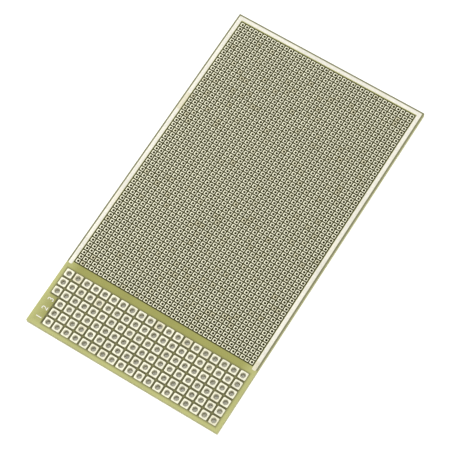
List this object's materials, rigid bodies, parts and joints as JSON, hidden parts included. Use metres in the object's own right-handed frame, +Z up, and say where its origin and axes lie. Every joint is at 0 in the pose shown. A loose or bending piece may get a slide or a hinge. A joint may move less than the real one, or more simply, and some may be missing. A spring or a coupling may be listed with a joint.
{
  "type": "prototype board",
  "caption": "Flat prototype circuit board with a fine field of square pads inside a U-shaped copper strip and a coarse field of drilled square pads at its open end.",
  "frame": {"origin": "centre of the underside", "axes": "+X across the board to the right, +Y along it towards the closed end of the border strip, +Z up out of the copper side"},
  "size_m": [0.0528, 0.0946, 0.0016],
  "materials": {
    "laminate": "satin glass-epoxy laminate, olive yellow",
    "tinned_copper": "hot-levelled tin on copper foil, silver with a warm tint"
  },
  "bodies": {
    "root": {"laminate": "laminate", "border_strip": "tinned_copper", "coarse_pads_row_1": "tinned_copper", "coarse_pads_row_2": "tinned_copper", "coarse_pads_row_3": "tinned_copper", "coarse_pads_row_4": "tinned_copper", "coarse_pads_row_5": "tinned_copper", "coarse_pads_row_6": "tinned_copper", "fine_pads_block_1": "tinned_copper", "fine_pads_block_2": "tinned_copper", "fine_pads_block_3": "tinned_copper", "fine_pads_block_4": "tinned_copper", "fine_pads_block_5": "tinned_copper", "fine_pads_block_6": "tinned_copper"}
  },
  "joints": []
}
